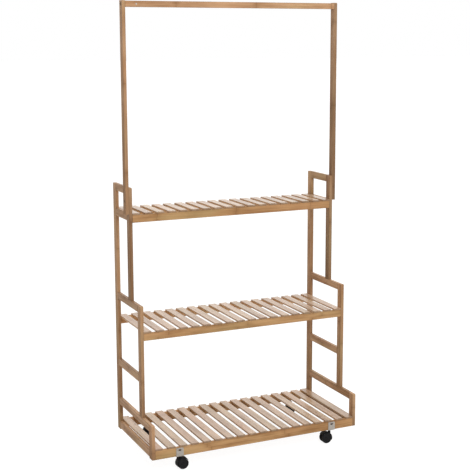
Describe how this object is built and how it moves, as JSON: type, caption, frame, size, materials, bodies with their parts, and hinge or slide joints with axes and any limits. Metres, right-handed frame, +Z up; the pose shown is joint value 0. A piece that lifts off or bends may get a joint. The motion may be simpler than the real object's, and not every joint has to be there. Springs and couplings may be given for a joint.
{
  "type": "rolling clothes rack",
  "caption": "Stepped wooden clothes rack on swivel casters: slatted shelves between two side frames, with a raised bar for hangers.",
  "frame": {"origin": "on the floor, under the centre of the whole rack's box, with the casters at rest as stored", "axes": "+Z up, -Y the front where the shelves step forward, +X to the right seen from the front"},
  "size_m": [0.847, 0.3875, 1.636],
  "materials": {
    "bamboo_frame": "matt lacquered bamboo, grain along each member",
    "bamboo_rail": "matt lacquered bamboo, grain along each rail",
    "bamboo_slat": "pale matt lacquered bamboo with darker cut edges",
    "zinc_steel": "bright zinc plate",
    "dark_steel": "dark bronzed steel of the bolts and screws",
    "caster_nylon": "satin black moulded nylon",
    "wheel_nylon": "satin black moulded nylon, tread slightly worn"
  },
  "bodies": {
    "frame": {"left_rear_post": "bamboo_frame", "left_upper_post": "bamboo_frame", "left_middle_post": "bamboo_frame", "left_lower_post": "bamboo_frame", "left_top_arm": "bamboo_frame", "left_middle_arm": "bamboo_frame", "left_rung": "bamboo_frame", "left_low_arm": "bamboo_frame", "left_top_side_rail": "bamboo_frame", "left_bottom_side_rail": "bamboo_frame", "right_rear_post": "bamboo_frame", "right_upper_post": "bamboo_frame", "right_middle_post": "bamboo_frame", "right_lower_post": "bamboo_frame", "right_top_arm": "bamboo_frame", "right_middle_arm": "bamboo_frame", "right_rung": "bamboo_frame", "right_low_arm": "bamboo_frame", "right_top_side_rail": "bamboo_frame", "right_bottom_side_rail": "bamboo_frame", "bottom_front_rail": "bamboo_rail", "bottom_rear_rail": "bamboo_rail", "bottom_shelf_slats": "bamboo_slat", "middle_front_rail": "bamboo_rail", "middle_rear_rail": "bamboo_rail", "middle_shelf_slats": "bamboo_slat", "top_front_rail": "bamboo_rail", "top_rear_rail": "bamboo_rail", "top_shelf_slats": "bamboo_slat", "left_hanging_post": "bamboo_frame", "right_hanging_post": "bamboo_frame", "hanging_bar": "bamboo_rail", "left_frame_bolt": "dark_steel", "left_bar_bolt": "dark_steel", "right_frame_bolt": "dark_steel", "right_bar_bolt": "dark_steel", "front_left_bracket": "zinc_steel", "front_left_bracket_screw": "dark_steel", "front_right_bracket": "zinc_steel", "front_right_bracket_screw": "dark_steel", "rear_left_bracket": "zinc_steel", "rear_left_bracket_screw": "dark_steel", "rear_right_bracket": "zinc_steel", "rear_right_bracket_screw": "dark_steel"},
    "front_left_caster": {"front_left_caster_housing": "caster_nylon", "front_left_caster_axle": "zinc_steel"},
    "front_left_wheel_a": {"front_left_wheel_a": "wheel_nylon"},
    "front_left_wheel_b": {"front_left_wheel_b": "wheel_nylon"},
    "front_right_caster": {"front_right_caster_housing": "caster_nylon", "front_right_caster_axle": "zinc_steel"},
    "front_right_wheel_a": {"front_right_wheel_a": "wheel_nylon"},
    "front_right_wheel_b": {"front_right_wheel_b": "wheel_nylon"},
    "rear_left_caster": {"rear_left_caster_housing": "caster_nylon", "rear_left_caster_axle": "zinc_steel"},
    "rear_left_wheel_a": {"rear_left_wheel_a": "wheel_nylon"},
    "rear_left_wheel_b": {"rear_left_wheel_b": "wheel_nylon"},
    "rear_right_caster": {"rear_right_caster_housing": "caster_nylon", "rear_right_caster_axle": "zinc_steel"},
    "rear_right_wheel_a": {"rear_right_wheel_a": "wheel_nylon"},
    "rear_right_wheel_b": {"rear_right_wheel_b": "wheel_nylon"}
  },
  "joints": [
    {"name": "front_left_swivel", "type": "hinge", "parent": "frame", "child": "front_left_caster", "pos_m": [-0.306, -0.173, 0.045], "axis": [0, 0, 1], "continuous": true},
    {"name": "front_left_wheel_a_roll", "type": "hinge", "parent": "front_left_caster", "child": "front_left_wheel_a", "pos_m": [-0.2906, -0.173, 0.02], "axis": [0, 1, 0], "continuous": true},
    {"name": "front_left_wheel_b_roll", "type": "hinge", "parent": "front_left_caster", "child": "front_left_wheel_b", "pos_m": [-0.2906, -0.173, 0.02], "axis": [0, 1, 0], "continuous": true},
    {"name": "front_right_swivel", "type": "hinge", "parent": "frame", "child": "front_right_caster", "pos_m": [0.306, -0.173, 0.045], "axis": [0, 0, 1], "continuous": true},
    {"name": "front_right_wheel_a_roll", "type": "hinge", "parent": "front_right_caster", "child": "front_right_wheel_a", "pos_m": [0.2906, -0.173, 0.02], "axis": [0, -1, 0], "continuous": true},
    {"name": "front_right_wheel_b_roll", "type": "hinge", "parent": "front_right_caster", "child": "front_right_wheel_b", "pos_m": [0.2906, -0.173, 0.02], "axis": [0, -1, 0], "continuous": true},
    {"name": "rear_left_swivel", "type": "hinge", "parent": "frame", "child": "rear_left_caster", "pos_m": [-0.306, 0.165, 0.045], "axis": [0, 0, 1], "continuous": true},
    {"name": "rear_left_wheel_a_roll", "type": "hinge", "parent": "rear_left_caster", "child": "rear_left_wheel_a", "pos_m": [-0.29204, 0.17151, 0.02], "axis": [-0.4226, 0.9063, 0], "continuous": true},
    {"name": "rear_left_wheel_b_roll", "type": "hinge", "parent": "rear_left_caster", "child": "rear_left_wheel_b", "pos_m": [-0.29204, 0.17151, 0.02], "axis": [-0.4226, 0.9063, 0], "continuous": true},
    {"name": "rear_right_swivel", "type": "hinge", "parent": "frame", "child": "rear_right_caster", "pos_m": [0.306, 0.165, 0.045], "axis": [0, 0, 1], "continuous": true},
    {"name": "rear_right_wheel_a_roll", "type": "hinge", "parent": "rear_right_caster", "child": "rear_right_wheel_a", "pos_m": [0.31934, 0.1727, 0.02], "axis": [-0.5, 0.866, 0], "continuous": true},
    {"name": "rear_right_wheel_b_roll", "type": "hinge", "parent": "rear_right_caster", "child": "rear_right_wheel_b", "pos_m": [0.31934, 0.1727, 0.02], "axis": [-0.5, 0.866, 0], "continuous": true}
  ]
}
